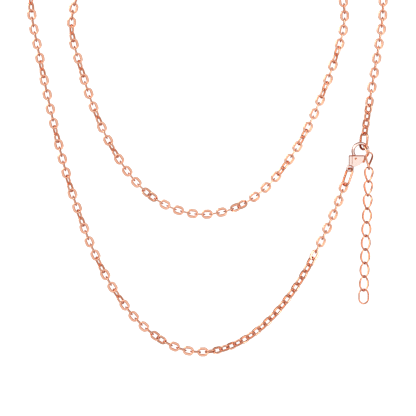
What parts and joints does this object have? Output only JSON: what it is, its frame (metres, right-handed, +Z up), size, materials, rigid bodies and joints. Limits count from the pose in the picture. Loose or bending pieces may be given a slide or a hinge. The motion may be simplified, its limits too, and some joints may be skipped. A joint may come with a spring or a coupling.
{
  "type": "chain necklace",
  "caption": "Long fine cable chain necklace in polished rose gold, wound twice into two loops, with a lobster clasp, jump rings and a curb link extender; laid flat.",
  "frame": {"origin": "centre of the laid necklace's bounding box in X and Y, on the surface it lies on", "axes": "X across the necklace, +Y towards the nape, +Z up from the surface; the front of the necklace is at -Y"},
  "size_m": [0.1199, 0.1653, 0.0059],
  "materials": {
    "rose_gold": "polished",
    "spring_steel": "satin"
  },
  "bodies": {
    "nape": {"nape_a_1": "rose_gold", "nape_a_2": "rose_gold", "nape_a_3": "rose_gold", "nape_a_4": "rose_gold", "nape_a_5": "rose_gold", "nape_a_6": "rose_gold", "nape_a_7": "rose_gold", "nape_b_1": "rose_gold", "nape_b_2": "rose_gold", "nape_b_3": "rose_gold", "nape_b_4": "rose_gold", "nape_b_5": "rose_gold", "nape_b_6": "rose_gold", "nape_b_7": "rose_gold"},
    "outer_fold_1": {"outer_left_6": "rose_gold", "upper_right_1": "rose_gold"},
    "outer_fold_2": {"outer_left_5": "rose_gold", "outer_left_4": "rose_gold", "upper_right_2": "rose_gold", "outer_right_1": "rose_gold"},
    "outer_fold_3": {"outer_left_3": "rose_gold", "outer_right_2": "rose_gold"},
    "outer_fold_4": {"outer_left_2": "rose_gold", "outer_right_3": "rose_gold"},
    "outer_fold_5": {"outer_left_1": "rose_gold", "outer_right_4": "rose_gold"},
    "outer_fold_6": {"outer_bottom_1": "rose_gold", "outer_bottom_2": "rose_gold"},
    "inner_fold_1": {"inner_left_4": "rose_gold", "inner_right_1": "rose_gold"},
    "inner_fold_2": {"inner_left_3": "rose_gold", "inner_right_2": "rose_gold"},
    "inner_fold_3": {"inner_left_2": "rose_gold", "inner_right_3": "rose_gold"},
    "inner_fold_4": {"inner_left_1": "rose_gold", "inner_right_4": "rose_gold"},
    "inner_fold_5": {"inner_bottom_1": "rose_gold", "inner_bottom_2": "rose_gold"},
    "ring_a": {"jump_ring_a": "rose_gold"},
    "ring_b": {"jump_ring_b": "rose_gold"},
    "clasp": {"clasp_body": "rose_gold", "clasp_pin": "rose_gold", "clasp_spring": "spring_steel"},
    "gate": {"clasp_gate": "rose_gold"},
    "ext_01": {"ext_link_01": "rose_gold"},
    "ext_02": {"ext_link_02": "rose_gold"},
    "ext_03": {"ext_link_03": "rose_gold"},
    "ext_04": {"ext_link_04": "rose_gold"},
    "ext_05": {"ext_link_05": "rose_gold"},
    "ext_06": {"ext_link_06": "rose_gold"},
    "ext_07": {"ext_link_07": "rose_gold"},
    "ext_08": {"ext_link_08": "rose_gold"},
    "ext_09": {"ext_link_09": "rose_gold"},
    "ext_10": {"ext_link_10": "rose_gold"},
    "ext_11": {"ext_link_11": "rose_gold"},
    "ext_12": {"ext_link_12": "rose_gold"}
  },
  "joints": [
    {"name": "outer_bend_1", "type": "hinge", "parent": "nape", "child": "outer_fold_1", "pos_m": [0, 0.0245, 0.00146], "axis": [1, 0, 0], "range_deg": [-15, 0]},
    {"name": "outer_bend_2", "type": "hinge", "parent": "outer_fold_1", "child": "outer_fold_2", "pos_m": [0, -0.002, 0.00146], "axis": [1, 0, 0], "range_deg": [-15, 0]},
    {"name": "outer_bend_3", "type": "hinge", "parent": "outer_fold_2", "child": "outer_fold_3", "pos_m": [0, -0.037, 0.00146], "axis": [1, 0, 0], "range_deg": [-15, 0]},
    {"name": "outer_bend_4", "type": "hinge", "parent": "outer_fold_3", "child": "outer_fold_4", "pos_m": [0, -0.046, 0.00146], "axis": [1, 0, 0], "range_deg": [-15, 0]},
    {"name": "outer_bend_5", "type": "hinge", "parent": "outer_fold_4", "child": "outer_fold_5", "pos_m": [0, -0.061, 0.00133], "axis": [1, 0, 0], "range_deg": [-15, 0]},
    {"name": "outer_bend_6", "type": "hinge", "parent": "outer_fold_5", "child": "outer_fold_6", "pos_m": [0, -0.07225, 0.00133], "axis": [1, 0, 0], "range_deg": [-15, 0]},
    {"name": "inner_bend_1", "type": "hinge", "parent": "nape", "child": "inner_fold_1", "pos_m": [0, 0.022, 0.00146], "axis": [1, 0, 0], "range_deg": [-15, 0]},
    {"name": "inner_bend_2", "type": "hinge", "parent": "inner_fold_1", "child": "inner_fold_2", "pos_m": [0, 0.01025, 0.00146], "axis": [1, 0, 0], "range_deg": [-15, 0]},
    {"name": "inner_bend_3", "type": "hinge", "parent": "inner_fold_2", "child": "inner_fold_3", "pos_m": [0, -0.00125, 0.00146], "axis": [1, 0, 0], "range_deg": [-15, 0]},
    {"name": "inner_bend_4", "type": "hinge", "parent": "inner_fold_3", "child": "inner_fold_4", "pos_m": [0, -0.01225, 0.00146], "axis": [1, 0, 0], "range_deg": [-15, 0]},
    {"name": "inner_bend_5", "type": "hinge", "parent": "inner_fold_4", "child": "inner_fold_5", "pos_m": [0, -0.026, 0.00146], "axis": [1, 0, 0], "range_deg": [-15, 0]},
    {"name": "ring_a_roll", "type": "hinge", "parent": "outer_fold_2", "child": "ring_a", "pos_m": [0.04642, -0.02334, 0.00162], "axis": [0.3223, 0.9466, 0], "range_deg": [-20, 0]},
    {"name": "ring_b_roll", "type": "hinge", "parent": "outer_fold_2", "child": "ring_b", "pos_m": [0.05176, -0.01143, 0.00173], "axis": [0.0802, 0.9954, -0.0529], "range_deg": [-20, 0]},
    {"name": "clasp_roll", "type": "hinge", "parent": "outer_fold_2", "child": "clasp", "pos_m": [0.04723, -0.02047, 0.00146], "axis": [0.4752, 0.8799, 0], "range_deg": [0, 20]},
    {"name": "gate_pivot", "type": "hinge", "parent": "clasp", "child": "gate", "pos_m": [0.04898, -0.01732, 0.00146], "axis": [0, 0, -1], "range_deg": [0, 20], "stiffness_Nm_per_rad": 0.0006, "springref_deg": -20.05, "deforming": ["clasp_spring"]},
    {"name": "ext_bend_01", "type": "hinge", "parent": "ring_b", "child": "ext_01", "pos_m": [0.05154, -0.01417, 0.00188], "axis": [-0.6074, 0.0068, -0.7944], "range_deg": [0, 5]},
    {"name": "ext_bend_02", "type": "hinge", "parent": "ext_01", "child": "ext_02", "pos_m": [0.05307, -0.01597, 0.00362], "axis": [-0.2791, 0.2911, 0.9151], "range_deg": [0, 15]},
    {"name": "ext_bend_03", "type": "hinge", "parent": "ext_02", "child": "ext_03", "pos_m": [0.05357, -0.02038, 0.00096], "axis": [0, 0, 1], "range_deg": [-10, 15]},
    {"name": "ext_bend_04", "type": "hinge", "parent": "ext_03", "child": "ext_04", "pos_m": [0.05337, -0.0249, 0.00096], "axis": [0.999, -0.0443, 0], "range_deg": [-10, 0]},
    {"name": "ext_bend_05", "type": "hinge", "parent": "ext_04", "child": "ext_05", "pos_m": [0.05317, -0.02941, 0.00096], "axis": [0, 0, 1], "range_deg": [-10, 15]},
    {"name": "ext_bend_06", "type": "hinge", "parent": "ext_05", "child": "ext_06", "pos_m": [0.05297, -0.03392, 0.00096], "axis": [0.999, -0.0443, 0], "range_deg": [-10, 0]},
    {"name": "ext_bend_07", "type": "hinge", "parent": "ext_06", "child": "ext_07", "pos_m": [0.05277, -0.03843, 0.00096], "axis": [0, 0, 1], "range_deg": [-10, 15]},
    {"name": "ext_bend_08", "type": "hinge", "parent": "ext_07", "child": "ext_08", "pos_m": [0.05257, -0.04294, 0.00096], "axis": [0.999, -0.0443, 0], "range_deg": [-15, 0]},
    {"name": "ext_bend_09", "type": "hinge", "parent": "ext_08", "child": "ext_09", "pos_m": [0.05237, -0.04745, 0.00096], "axis": [0, 0, 1], "range_deg": [-10, 15]},
    {"name": "ext_bend_10", "type": "hinge", "parent": "ext_09", "child": "ext_10", "pos_m": [0.05217, -0.05196, 0.00096], "axis": [0.999, -0.0443, 0], "range_deg": [-15, 0]},
    {"name": "ext_bend_11", "type": "hinge", "parent": "ext_10", "child": "ext_11", "pos_m": [0.05196, -0.05648, 0.00096], "axis": [0, 0, 1], "range_deg": [-10, 15]},
    {"name": "ext_bend_12", "type": "hinge", "parent": "ext_11", "child": "ext_12", "pos_m": [0.05176, -0.06099, 0.00096], "axis": [0.999, -0.0443, 0], "range_deg": [-15, 0]}
  ]
}
